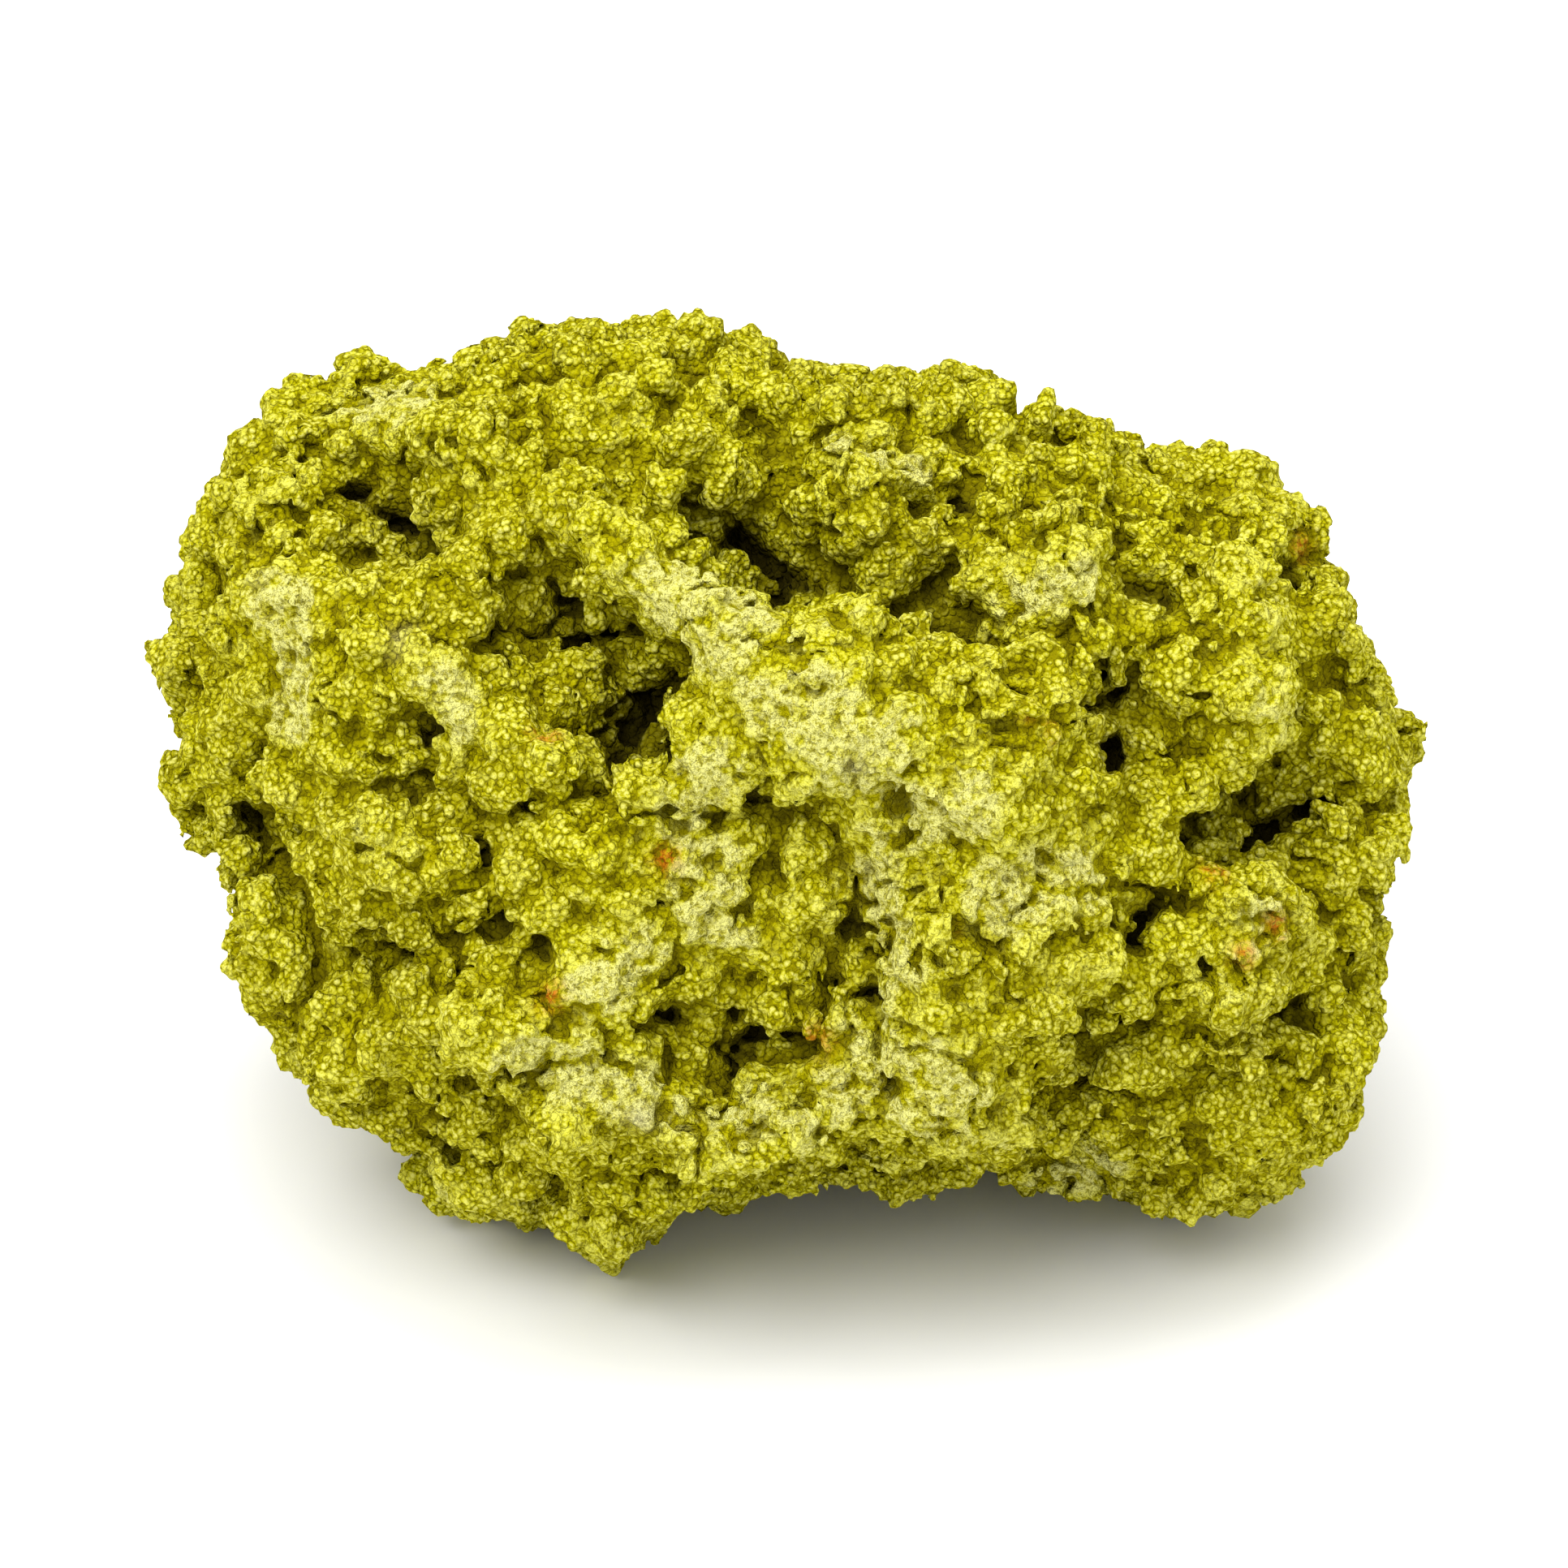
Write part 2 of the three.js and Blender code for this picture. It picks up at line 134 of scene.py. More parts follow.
GRAIN_CELLS = (0.59, 0.48)  # the finest grains, which are too small for the mesh
DOME_REACH = 0.45  # the square of how far a grain's dome reaches, in cells
FLAKE_SIZE, TORN_SIZE = 0.46, 1.2  # the crust's flakes, and the tears in its edge
GRIT_SIZE, GRIT_HEIGHT = 0.24, 0.2  # the finest relief
PATCH_SIZE, BROAD_SIZE = 6.0, 22.0  # patches of duller clay
GRAIN_SPREAD = 0.35  # how much the grains differ in colour
CRUST_COVER, GREY_COVER = 0.85, 0.6  # how much of the clay under them these hide
ROUGHNESS, SHINE = 0.95, 0.05

CAMERA_LENS = 100.0
CAMERA_DISTANCE = 358.0

# The studio, in metres and watts.
LIGHT_AIM = (0, 0, 0.035)
LIGHT_SIZE = 0.7
KEY_PLACE, KEY_POWER = (-0.26, -0.42, 0.72), 5.9
TOP_PLACE, TOP_POWER = (0.1, 0.1, 0.9), 3.5
WORLD_STRENGTH = 0.9
FLOOR_REACH, FLOOR_TONE = 3.0, 0.88

ACROSS, UP = np.array([1.0, 0, 0]), np.array([0, math.sin(FACE_LEAN), math.cos(FACE_LEAN)])
OUT = np.array([0, -math.cos(FACE_LEAN), math.sin(FACE_LEAN)])
EYE = FACE_MIDDLE + OUT * CAMERA_DISTANCE

# Lines on the show face, each through points [across, up] from its middle.
CREVICES = [  # radius, depth, points
    (0.9, 5.5, [(-35.7, 24.3), (-31.3, 20.9), (-27.5, 21.2)]),
    (0.7, 5.5, [(-24.3, 18.3), (-20.6, 17.1), (-18.0, 16.5)]),
    (0.85, 6.0, [(-18.6, 10.7), (-16.4, 11.6), (-14.6, 12.6)]),
    (0.6, 5.0, [(-23.0, 9.8), (-22.0, 9.8)]),
    (0.8, 6.0, [(-13.4, 1.8), (-13.0, 4.4), (-9.9, 7.0)]),
    (0.6, 5.0, [(-7.4, 21.5)]),
    (0.85, 6.0, [(-4.2, 20.0), (-0.5, 17.7), (2.3, 15.8)]),
    (0.7, 5.0, [(6.5, 19.4), (12.1, 21.5)]),
    (0.6, 4.5, [(14.0, 26.5), (17.6, 24.0)]),
    (0.5, 4.5, [(-16.2, 24.3)]),
    (0.5, 4.5, [(-36.9, 29.0)]),
    (0.5, 4.0, [(1.4, 28.4)]),
    (0.5, 4.0, [(-7.4, 32.2)]),
    (0.6, 5.0, [(27.8, 13.3), (26.2, 8.9), (26.6, 5.0)]),
    (1.1, 6.5, [(26.8, 3.4), (27.0, 1.6)]),
    (0.7, 5.0, [(31.0, -3.0), (34.6, -4.6)]),
    (1.1, 6.0, [(37.6, -4.8), (40.2, -3.9)]),
    (0.8, 5.5, [(42.5, -2.4), (44.6, -1.4)]),
    (0.6, 5.0, [(31.5, 18.4), (33.8, 17.3)]),
    (0.7, 5.0, [(41.7, 17.6), (41.9, 14.9)]),
    (0.5, 4.5, [(23.4, 18.4)]),
    (0.6, 4.5, [(20.2, -5.0), (21.6, -6.0)]),
    (0.6, 4.5, [(14.2, -11.0), (12.4, -11.8)]),
    (0.6, 4.5, [(6.5, -13.7)]),
    (0.8, 5.5, [(30.4, -9.9), (28.3, -12.6)]),
    (1.0, 5.5, [(24.4, -18.4), (26.6, -19.8)]),
    (0.6, 5.0, [(15.9, -20.9), (20.0, -20.9)]),
    (1.1, 6.5, [(20.8, -26.6), (22.2, -28.0)]),
    (0.7, 5.0, [(36.8, -21.2), (38.4, -19.4)]),
    (0.6, 4.5, [(39.2, -17.8), (44.8, -17.5)]),
    (0.6, 5.0, [(36.0, -28.8)]),
    (0.7, 5.0, [(44.2, -10.6)]),
    (0.6, 5.0, [(-16.4, -23.2), (-13.7, -21.7)]),
    (0.6, 5.0, [(-10.2, -19.2), (-9.0, -19.6)]),
    (0.6, 4.5, [(-5.8, -21.6), (-1.0, -20.2), (2.6, -20.4)]),
    (1.0, 5.0, [(-30.8, -10.8), (-30.0, -12.8)]),
    (0.7, 5.0, [(-34.6, -16.0)]),
    (0.6, 5.0, [(-36.9, -7.4)]),
    (0.6, 5.0, [(-34.2, 2.2), (-31.0, 1.2)]),
    (0.6, 5.0, [(-22.4, -0.6), (-20.8, -1.8)]),
    (0.5, 4.5, [(-20.0, -8.1)]),
    (1.1, 5.0, [(-44.4, -2.4), (-42.8, -4.6)]),
    (0.9, 5.0, [(-28.6, -29.4), (-26.6, -31.0)]),
    (0.7, 5.0, [(-12.4, -30.0), (-10.6, -30.6)]),
    (0.8, 18.0, [(-44.1, -11.0)]),
    (0.8, 18.0, [(45.5, -19.0)]),
]
WORN_RIDGES = [  # radius, points
    (4.9, [(-8.5, 16.0), (-5.6, 13.8), (-0.5, 8.0), (5.2, 3.4)]),
    (6.2, [(6.0, 2.6), (8.4, 0.6)]),
    (4.1, [(9.0, -3.7), (13.8, -1.0)]),
    (3.8, [(-6.1, -7.4), (-5.5, -12.5)]),
    (4.3, [(18.4, -9.8), (24.6, -8.4)]),
    (5.7, [(9.6, -20.6), (13.2, -25.4)]),
    (3.5, [(5.0, -26.2), (-3.0, -26.6), (-12.0, -26.0), (-21.8, -22.5)]),
    (4.1, [(-35.7, 32.0), (-30.4, 31.2)]),
    (3.8, [(-41.0, 15.0), (-40.7, 5.2)]),
    (3.5, [(39.8, -11.4), (36.0, -14.6)]),
    (3.2, [(19.0, 14.6), (24.0, 16.6)]),
    (3.2, [(-28.4, 8.6), (-26.2, 4.0)]),
    (3.5, [(-12.0, -14.0), (-16.0, -16.6)]),
    (4.0, [(8.5, -8.5), (10.5, -15.0)]),
    (3.5, [(-5.5, 2.0), (-9.0, -2.5)]),
    (3.2, [(4.5, 28.0), (11.0, 26.0)]),
    (3.0, [(20.0, -33.0), (27.0, -31.0)]),
]
LOOSE_PLACES = [  # radius, across, up: where the clusters are sunk and stand apart
    (6.0, -30.0, 20.7), (6.0, -20.6, 14.6), (5.0, -12.5, 5.5), (5.0, -3.6, 20.7), (5.5, 2.5, 16.5),
    (5.0, 11.0, 19.5), (6.0, -26.7, 0.7), (7.0, -32.2, -13.4), (5.0, -41.0, -3.0), (5.5, -24.3, -28.0),
    (5.0, -13.3, -31.6), (4.5, -6.0, -20.7), (5.0, 28.0, 2.5), (6.0, 38.4, -3.6), (5.5, 24.0, -23.0),
    (5.5, 22.0, -17.0), (6.5, 34.0, -20.0), (5.0, 41.0, -17.0), (4.5, 31.0, 17.5), (5.0, 4.0, -30.5),
    (5.5, 26.0, -13.5), (5.0, -26.0, 13.0),
]
STAINS = [  # attribute, across, up, radius
    ("rust", -19.6, 4.3, 0.9), ("rust", -9.6, -6.1, 0.9), ("rust", 13.4, -12.4, 0.5),
    ("rust", 35.4, -7.1, 0.8), ("rust", 40.7, -11.7, 0.9), ("rust", 37.8, -14.0, 0.8),
    ("rust", 2.4, -21.4, 1.2), ("rust", 42.7, 19.6, 0.9), ("rust", -19.3, -17.4, 1.0),
    ("rust", 22.1, 4.3, 0.6), ("rust", 20.0, 5.9, 0.5),
    ("grey", -11.9, -27.7, 1.2), ("grey", 6.0, 1.0, 1.0), ("grey", -31.2, 11.5, 1.1),
]

# ---------------------------------------------------------------- scatter and noise


def turn(x, bits):
    return (x << np.uint32(bits)) | (x >> np.uint32(32 - bits))


def stir(a, b, c):
    for first, bits in enumerate((4, 6, 8, 16, 19, 4)):
        if first % 3 == 0:
            a, c = (a - c) ^ turn(c, bits), c + b
        elif first % 3 == 1:
            b, a = (b - a) ^ turn(a, bits), a + c
        else:
            c, b = (c - b) ^ turn(b, bits), b + a
    return a, b, c


def settle(a, b, c):
    c = (c ^ b) - turn(b, 14)
    a = (a ^ c) - turn(c, 11)
    b = (b ^ a) - turn(a, 25)
    c = (c ^ b) - turn(b, 16)
    a = (a ^ c) - turn(c, 4)
    b = (b ^ a) - turn(a, 14)
    return (c ^ b) - turn(b, 24)


def scatter(cells):
    """Three numbers from 0 to 1 for each whole-number cell, the same on every run."""
    x, y, z = (cells[..., axis].astype(np.float32).view(np.uint32) for axis in range(3))
    with np.errstate(over="ignore"):
        start = np.uint32(0xDEADBEEF + (3 << 2) + 13)
        numbers = [settle(start + x, start + y, start + z)]
        start = np.uint32(0xDEADBEEF + (4 << 2) + 13)
        for key in (1.0, 2.0):
            a, b, c = stir(start + x, start + y, start + z)
            numbers.append(settle(a + np.float32(key).view(np.uint32), b, c))
    return np.stack(numbers, -1).astype(np.float64) / 0xFFFFFFFF


def in_parts(work, points, part=400_000):
    """work(points), done a part at a time on every core."""
    parts = [points[i:i + part] for i in range(0, len(points), part)]
    with ThreadPoolExecutor() as pool:
        return np.concatenate(list(pool.map(work, parts)))


def noise(points, size, seed):
    """Smooth noise from -1 to 1, with forms about size across."""
    def part_noise(part):
        place = part / size + seed * 17.3
        cell = np.floor(place).astype(np.int32)
        t = (place - cell).astype(np.float32)
        t = t * t * (3 - 2 * t)
        low = cell.min(0)
        span = cell.max(0) - low + 2
        lattice = scatter(np.indices(span).reshape(3, -1).T + low)[:, 0].astype(np.float32)
        cell = cell - low
        total = np.zeros(len(part), np.float32)
        for i in (0, 1):
            for j in (0, 1):
                for k in (0, 1):
                    flat = ((cell[:, 0] + i) * span[1] + cell[:, 1] + j) * span[2] + cell[:, 2] + k
                    share = (t[:, 0] if i else 1 - t[:, 0]) * (t[:, 1] if j else 1 - t[:, 1])
                    total += lattice[flat] * share * (t[:, 2] if k else 1 - t[:, 2])
        return total * 2 - 1
    return in_parts(part_noise, points)


def smoothstep(low, high, x):
    t = np.clip((x - low) / (high - low), 0, 1)
    return t * t * (3 - 2 * t)


# ---------------------------------------------------------------- grids


class Grid:
    """Numbers on an even grid, read anywhere between its points."""

    def __init__(self, low, voxel, values):
        self.low, self.voxel, self.values = np.asarray(low, np.float32), voxel, values

    def at(self, points):
        return in_parts(self._at, points)

    def _at(self, points):
        place = (points - self.low) / self.voxel
        place = np.clip(place, 0, np.array(self.values.shape) - 1.001)
        cell = place.astype(np.int32)
        t = (place - cell).astype(np.float32)
        flat_values = self.values.ravel()
        _, ny, nz = self.values.shape
        total = np.zeros(len(points), np.float32)
        for i in (0, 1):
            for j in (0, 1):
                for k in (0, 1):
                    flat = ((cell[:, 0] + i) * ny + cell[:, 1] + j) * nz + cell[:, 2] + k
                    share = (t[:, 0] if i else 1 - t[:, 0]) * (t[:, 1] if j else 1 - t[:, 1])
                    total += flat_values.take(flat) * share * (t[:, 2] if k else 1 - t[:, 2])
        return total


def blurred(values, sigma):
    """values blurred by a bell of that many steps along each axis."""
    reach = int(math.ceil(sigma * 2.5))
    steps = np.arange(-reach, reach + 1)
    bell = np.exp(-steps**2 / (2 * sigma**2))
    bell /= bell.sum()
    for axis in range(3):
        padding = [(reach, reach) if a == axis else (0, 0) for a in range(3)]
        padded = np.pad(values, padding, mode="edge")
        size = values.shape[axis]
        values = sum(
            share * np.take(padded, np.arange(i, i + size), axis) for i, share in enumerate(bell)
        ).astype(np.float32)
    return values


def solid_depth():
    """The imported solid's distance field in millimetres: below 0 inside."""
    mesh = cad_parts[NODE].data
    points = np.empty(len(mesh.vertices) * 3, np.float32)
    mesh.vertices.foreach_get("co", points)
    points = points.reshape(-1, 3) / MM
    mesh.calc_loop_triangles()
    triangles = np.empty(len(mesh.loop_triangles) * 3, np.int32)
    mesh.loop_triangles.foreach_get("vertices", triangles)
    grid = openvdb.FloatGrid.createLevelSetFromPolygons(
        points,
        triangles=triangles.reshape(-1, 3).astype(np.uint32),
        transform=openvdb.createLinearTransform(FORM_VOXEL),
        halfWidth=FORM_REACH / FORM_VOXEL,
    )
    first = np.floor((points.min(0) - FORM_REACH) / FORM_VOXEL).astype(int)
    last = np.ceil((points.max(0) + FORM_REACH) / FORM_VOXEL).astype(int)
    values = np.empty(last - first, np.float32)
    grid.copyToArray(values, ijk=tuple(int(i) for i in first))
    values = blurred(values, FORM_ROUNDING / FORM_VOXEL)
    return Grid(first * FORM_VOXEL, FORM_VOXEL, values)


# ---------------------------------------------------------------- balls


def slope(grid, points):
    """The direction in which a grid's numbers grow fastest at each point, one unit long."""
    step = 0.75 * grid.voxel
    rise = np.stack([
        grid.at(points + step * axis) - grid.at(points - step * axis)
        for axis in np.eye(3, dtype=np.float32)
    ], -1)
    return rise / np.maximum(np.linalg.norm(rise, axis=1), 1e-6)[:, None]


def balls_on(surface, kind):
    """The middles and radii of balls set on a surface, one to a cell."""
    cell = kind["cell"]
    low, high = np.array(cad_box[0]) / MM, np.array(cad_box[1]) / MM
    first = np.floor(low / cell).astype(int) - 1
    count = np.ceil(high / cell).astype(int) + 2 - first
    cells = np.indices(count).reshape(3, -1).T + first
    places = ((cells + scatter(cells)) * cell).astype(np.float32)
    chance = scatter(cells + kind["seed"]).astype(np.float32)
    kept = (np.abs(surface.at(places)) < cell / 2) & (chance[:, 2] >= kind["missing"])
    places, chance = places[kept], chance[kept]
    for _ in range(2):
        places = places - slope(surface, places) * surface.at(places)[:, None]
    least, most = kind["radius"]
    radii = least + (most - least) * chance[:, 0]
    lowest, highest = kind["top"]
    top = lowest + (highest - lowest) * chance[:, 1]
    middles = places + slope(surface, places) * (top - radii)[:, None]
    kept = (crevices.at(middles) > kind["clear"] * radii) & (rough.at(middles) > -kind["deepest"])
    return middles[kept], radii[kept]


def add_balls(grid, middles, radii):
    """Adds balls to what a grid holds the distance to, which is below 0 inside."""
    reach = math.ceil((radii.max() + 2 * grid.voxel) / grid.voxel)
    cells = np.round((middles - grid.low) / grid.voxel).astype(np.int32)
    inside = ((cells >= reach) & (cells < np.array(grid.values.shape) - reach)).all(1)
    cells, middles, radii = cells[inside], middles[inside], radii[inside]
    _, ny, nz = grid.values.shape
    flat = (cells[:, 0] * ny + cells[:, 1]) * nz + cells[:, 2]
    arms = (cells * grid.voxel + grid.low - middles).astype(np.float32)
    held = grid.values.ravel()
    steps = np.arange(-reach, reach + 1)
    for i in steps:
        for j in steps:
            for k in steps:
                if i * i + j * j + k * k > (reach + 0.5) ** 2:
                    continue
                arm = arms + np.array([i, j, k], np.float32) * np.float32(grid.voxel)
                distance = (np.sqrt(np.einsum("ij,ij->i", arm, arm)) - radii).astype(np.float32)
                place = flat + ((i * ny + j) * nz + k)
                np.minimum.at(held, place, distance)


def face_point(across, up):
    """The point of the form's surface that is seen at [across, up] on the show face."""
    middle = FACE_MIDDLE + across * ACROSS + up * UP
    ray = (EYE - middle) / np.linalg.norm(EYE - middle)
    line = middle + np.outer(np.arange(60, -60, -0.25), ray)
    depth = form._at(line)
    return line[np.argmax(depth < 0)], ray


def along(points, step=0.8):
    """Points every step along the line through points."""
    placed = [np.array(points[0], float)]
    for start, end in zip(points, points[1:]):
        start, end = np.array(start, float), np.array(end, float)
        count = max(1, round(np.linalg.norm(end - start) / step))
        placed += [start + (end - start) * k / count for k in range(1, count + 1)]
    return placed


def block_around(grid, low, high):
    """The part of a grid between two corners, and its points."""
    first = np.floor((low - grid.low) / grid.voxel).astype(int)
    last = np.ceil((high - grid.low) / grid.voxel).astype(int)
    first = np.clip(first, 0, grid.values.shape)
    last = np.clip(last, 0, grid.values.shape)
    points = np.indices(last - first).reshape(3, -1).T
    return tuple(map(slice, first, last)), (points + first) * grid.voxel + grid.low


def crevice_grid():
    """Distance to the listed crevices, below 0 inside them."""
    grid = Grid(form.low, form.voxel, np.full(form.values.shape, FAR, np.float32))
    for radius, depth, points in CREVICES:
        for place in along(points):
            mouth, ray = face_point(*place)
            mouth, bottom = mouth + CREVICE_LEAD * ray, mouth - (depth - radius) * ray
            reach = radius + 3
            block, near = block_around(grid, np.minimum(mouth, bottom) - reach,
                                       np.maximum(mouth, bottom) + reach)
            length = depth - radius + CREVICE_LEAD
            share = np.clip((near - mouth) @ (bottom - mouth) / length ** 2, 0, 1)
            distance = np.linalg.norm(near - mouth - np.outer(share, bottom - mouth), axis=1) - radius
            values = grid.values[block]
            np.minimum(values, distance.reshape(values.shape), out=values)
    return grid


def spot_grid(spots):
    """A share that is 1 at each (radius, place) and falls off around it."""
    grid = Grid(form.low, form.voxel, np.zeros(form.values.shape, np.float32))
    for radius, place in spots:
        middle = face_point(*place)[0]
        block, near = block_around(grid, middle - 2.2 * radius, middle + 2.2 * radius)
        share = np.exp(-(np.linalg.norm(near - middle, axis=1) / radius) ** 2)
        values = grid.values[block]
        np.maximum(values, share.reshape(values.shape), out=values)
    return grid


def rough_form():
    """The form, pushed about and swollen a little, so that it has ledges and hollows of its own."""
    count = form.values.shape
    points = (np.indices(count).reshape(3, -1).T * form.voxel + form.low).astype(np.float32)
    push = np.stack([noise(points, WARP_SIZE, seed) for seed in (21, 22, 23)], -1) * WARP_SHIFT
    values = form.at(points + push) - SWELL
    values += WAVE_HEIGHT * noise(points, WAVE_SIZE, 24)
    values += LOOSE_SINK * loose.at(points)
    return Grid(form.low, form.voxel, values.reshape(count))


form = solid_depth()
form_wide = Grid(form.low, form.voxel, blurred(form.values, PROUD_REACH / FORM_VOXEL))
loose = spot_grid([(radius, (across, up)) for radius, across, up in LOOSE_PLACES])
rough = rough_form()
crevices = crevice_grid()
ridges = spot_grid([(radius, place) for radius, points in WORN_RIDGES for place in along(points, 1.5)])


def worn_share(points):
    """0 where the surface is sheltered, 1 where it is proud and worn."""
    proud = form_wide.at(points) - form.at(points)
    share = PROUD_WEAR * smoothstep(WORN_FROM, WORN_FULLY, proud)
    share = np.maximum(share, RIDGE_WEAR * ridges.at(points))
    for size, seed in WEAR_PATCHES:
        share = share + WEAR_PATCH * noise(points, size, seed)
    return np.clip(share + LOOSE_WEAR * loose.at(points), 0, 1)


def spread_out(mask, steps=1):
    """mask grown by that many steps along the axes."""
    for _ in range(steps):
        grown = mask.copy()
        for axis in range(3):
            ahead = [slice(None)] * 3
            behind = [slice(None)] * 3
            ahead[axis], behind[axis] = slice(1, None), slice(None, -1)
            grown[tuple(ahead)] |= mask[tuple(behind)]
            grown[tuple(behind)] |= mask[tuple(ahead)]
        mask = grown
    return mask


def without_bubbles(values):
    """The clay with every hollow filled that no gap wide enough to see into reaches."""
    open_air = values > THINNEST_GAP / 2
    reached = np.zeros_like(open_air)
    reached[0] = True
    while True:
        grown = spread_out(reached, 4) & open_air
        if grown.sum() == reached.sum():
            break
        reached = grown
    return np.where(spread_out(reached, 3), values, np.minimum(values, -CLAY_VOXEL))


def rubbed_level(points, worn):
    """Distance above the level that wear has brought the surface down to."""
    level = RUBBED_LEVEL
    for height, size, seed in RUBBED_WAVES:
        level = level + height * noise(points, size, seed)
    return rough.at(points) + worn * level - UNWORN_CUT * (1 - worn)


def gap_grid(surface):
    """Distance to the gaps between clusters, below 0 inside them."""
    gaps = Grid(surface.low, surface.voxel, np.full(surface.values.shape, FAR, np.float32))
    for kind in (GAPS, LOOSE_GAPS):
        middles, radii = balls_on(surface, kind)
        if kind is LOOSE_GAPS:
            kept = loose.at(middles) > LOOSE_FROM
            middles, radii = middles[kept], radii[kept]
        aside = np.stack([noise(middles, 0.7, seed) for seed in (51, 52, 53)], -1)
        add_balls(gaps, middles, radii)
        add_balls(gaps, middles + GAP_STRETCH * aside * radii[:, None], GAP_SECOND * radii)
    return gaps


def around_solid(voxel):
    """The lowest corner of a grid around the solid, and how many steps it takes each way."""
    low = np.array(cad_box[0]) / MM - MARGIN
    high = np.array(cad_box[1]) / MM + MARGIN
    return low, np.ceil((high - low) / voxel).astype(int)


def clay_grids():
    """The clay without its knobs, how worn it is, and how much clay lies near and widely around."""
    low, count = around_solid(CLAY_VOXEL)
    points = (np.indices(count).reshape(3, -1).T * CLAY_VOXEL + low).astype(np.float32)
    depth = rough.at(points)
    near = np.flatnonzero((depth > CLAY_BAND[0]) & (depth < CLAY_BAND[1]))
    points = points[near]
    worn = worn_share(points)
    torn = 0.5 * noise(points, 2.0, 7) + 0.45 * noise(points, 1.0, 9)
    hollow = crevices.at(points) + torn
    least, most = CORE_DEPTH
    core = depth[near] + (least + most) / 2 + (most - least) / 2 * noise(points, CORE_WAVE, 1)
    core = core - WORN_CORE_RISE * worn + CREVICE_CORE_SINK * smoothstep(0.3, -0.8, hollow)
    depth[near] = core
    lumps = Grid(low, CLAY_VOXEL, depth.reshape(count))
    add_balls(lumps, *balls_on(rough, CLUSTERS))
    gaps = gap_grid(lumps).at(points) + torn
    depth[near] = np.maximum(depth[near], -gaps)
    add_balls(lumps, *balls_on(lumps, LUMPS))
    push = np.stack([noise(points, LUMP_PUSH_SIZE, seed) for seed in (31, 32, 33)], -1) * LUMP_PUSH
    clay = np.maximum(lumps.at(points + push), -CREVICE_WIDER - hollow)
    clay = np.minimum(clay, rough.at(points) + CARVE_LIMIT)
    clay = np.maximum(clay, rubbed_level(points, worn))
    values = lumps.values.ravel().copy()
    values[near] = clay
    values = without_bubbles(values.reshape(count))
    wear = np.zeros(count, np.float32)
    wear.ravel()[near] = worn
    filled = np.clip(0.5 - values / CLAY_VOXEL, 0, 1)
    shares = [blurred(filled, reach / CLAY_VOXEL) for reach in (SHELTER_REACH, DEEP_REACH)]
    grids = (values, wear, *shares)
    return [Grid(low, CLAY_VOXEL, held) for held in grids]


clay, wear, shelter, wide_shelter = clay_grids()


def skin_grid():
    """The finished surface's distance field."""
    low, count = around_solid(SKIN_VOXEL)
    skin = Grid(low, SKIN_VOXEL, np.empty(count, np.float32))
    # read the clay a slab at a time, so that the whole grid's points are never held at once
    plane = np.indices((1, count[1], count[2])).reshape(3, -1).T * SKIN_VOXEL + low
    for i in range(count[0]):
        slab = (plane + [i * SKIN_VOXEL, 0, 0]).astype(np.float32)
        skin.values[i] = clay._at(slab).reshape(count[1], count[2])
    add_balls(skin, *balls_on(clay, KNOBS))
    near = np.argwhere((skin.values > SKIN_BAND[0]) & (skin.values < SKIN_BAND[1]))
    points = (near * SKIN_VOXEL + low).astype(np.float32)
    flat = (near[:, 0] * count[1] + near[:, 1]) * count[2] + near[:, 2]
    held = skin.values.ravel()
    worn = wear.at(points)
    line = np.abs(noise(points, CLEFT_SIZE, 41) + 0.25 * noise(points, 0.9, 42))
    patch = smoothstep(-0.3, 0.1, noise(points, CLEFT_PATCH, 43))
    held[flat] += CLEFT_DEPTH * smoothstep(0.2, 0.04, line) * patch
    rubbed = rubbed_level(points, worn) - RUBBED_KNOB
    held[flat] = np.maximum(np.maximum(held[flat], rubbed), FLOOR_GAP - points[:, 2])
    return skin


skin = skin_grid()


def skin_mesh():
    """The surface of the skin's grid in vertices and quads that face out."""
    grid = openvdb.FloatGrid(3 * SKIN_VOXEL)
    grid.copyFromArray(np.clip(skin.values, -3 * SKIN_VOXEL, 3 * SKIN_VOXEL))
    grid.gridClass = openvdb.GridClass.LEVEL_SET
    vertices, quads = grid.convertToQuads(isovalue=0.0)
    return vertices * SKIN_VOXEL + skin.low, quads[:, ::-1].astype(np.int32)


def largest_piece(vertices, quads):
    """The vertices and quads of the largest connected piece, without the bubbles and crumbs."""
    label = np.arange(len(vertices))
    while True:
        held = label[quads]
        least = np.repeat(held.min(1), 4).reshape(-1, 4)
        higher = held > least
        if not higher.any():
            break
        np.minimum.at(label, held[higher], least[higher])
        while not np.array_equal(label, label[label]):
            label = label[label]
    counts = np.bincount(label[quads[:, 0]], minlength=len(vertices))
    quads = quads[label[quads[:, 0]] == np.argmax(counts)]
    used = np.unique(quads)
    number = np.full(len(vertices), -1)
    number[used] = np.arange(len(used))
    return vertices[used], number[quads]


# ---------------------------------------------------------------- the clay's material


def linear(red, green, blue):
    """A colour given as it looks on a screen, 0 to 255."""
    shares = [c / 255 for c in (red, green, blue)]
    return [((c + 0.055) / 1.055) ** 2.4 if c > 0.04045 else c / 12.92 for c in shares] + [1.0]


# painted black shade, for the floors of the deep gaps and crevices
PAINTED_BLACK_SHADE = linear(40, 34, 2)
# painted shade, for hollows, sheltered clay and the edges between grains and flakes
PAINTED_SHADE = linear(104, 95, 0)
# a duller clay tone, which also serves as painted shade in sheltered places and in the crust's pits
DULL_AND_SHADED = linear(171, 163, 0)
FRESH = linear(206, 202, 0)
OLIVE = linear(168, 162, 0)
PALE = linear(222, 219, 82)
POWDER = linear(231, 228, 134)
RUST = linear(186, 104, 16)
GREY = linear(176, 170, 138)


